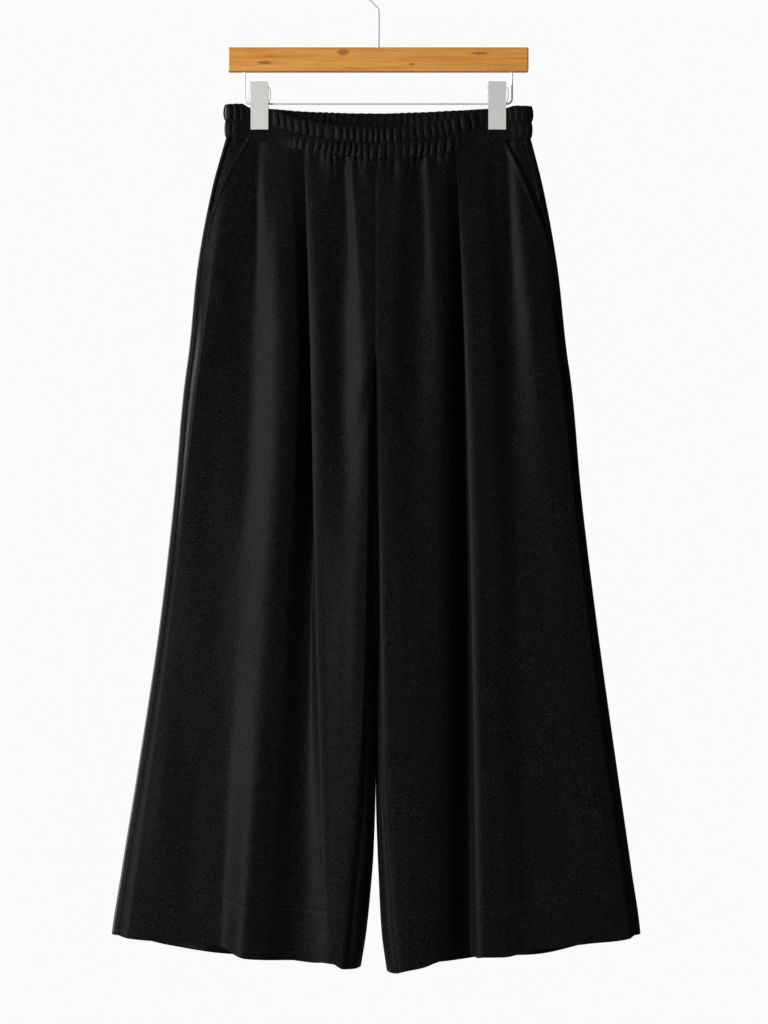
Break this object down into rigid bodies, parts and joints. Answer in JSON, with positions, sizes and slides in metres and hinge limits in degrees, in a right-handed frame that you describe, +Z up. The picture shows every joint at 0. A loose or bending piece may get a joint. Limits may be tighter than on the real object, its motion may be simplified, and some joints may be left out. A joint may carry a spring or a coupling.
{
  "type": "palazzo trousers on clip hanger",
  "caption": "Wide-legged pull-on trousers with a ruched elastic waistband, slant pockets and pressed pleats, hanging by two clips from a wooden bar hanger.",
  "frame": {"origin": "inside top of the hanger's hook, where it rests on a rail", "axes": "+Z up, -Y towards the front of the trousers, +X towards the wearer's left"},
  "size_m": [0.6165, 0.0786, 1.1699],
  "materials": {
    "cloth": "matte black crepe",
    "wood": "orange-brown, satin varnish",
    "steel": "satin nickel"
  },
  "bodies": {
    "root": {"waistband_front": "cloth", "waistband_back": "cloth", "front_panel_right": "cloth", "front_panel_left": "cloth", "back_panel_right": "cloth", "back_panel_left": "cloth", "pocket_facing_right": "cloth", "pocket_facing_left": "cloth", "hanger_bar": "wood", "hanger_hook": "steel", "clip_rail": "steel", "clip_right_front": "steel", "clip_right_back": "steel", "clip_left_front": "steel", "clip_left_back": "steel", "clip_right_spring_outer": "steel", "clip_right_spring_inner": "steel", "clip_left_spring_outer": "steel", "clip_left_spring_inner": "steel"}
  },
  "joints": []
}
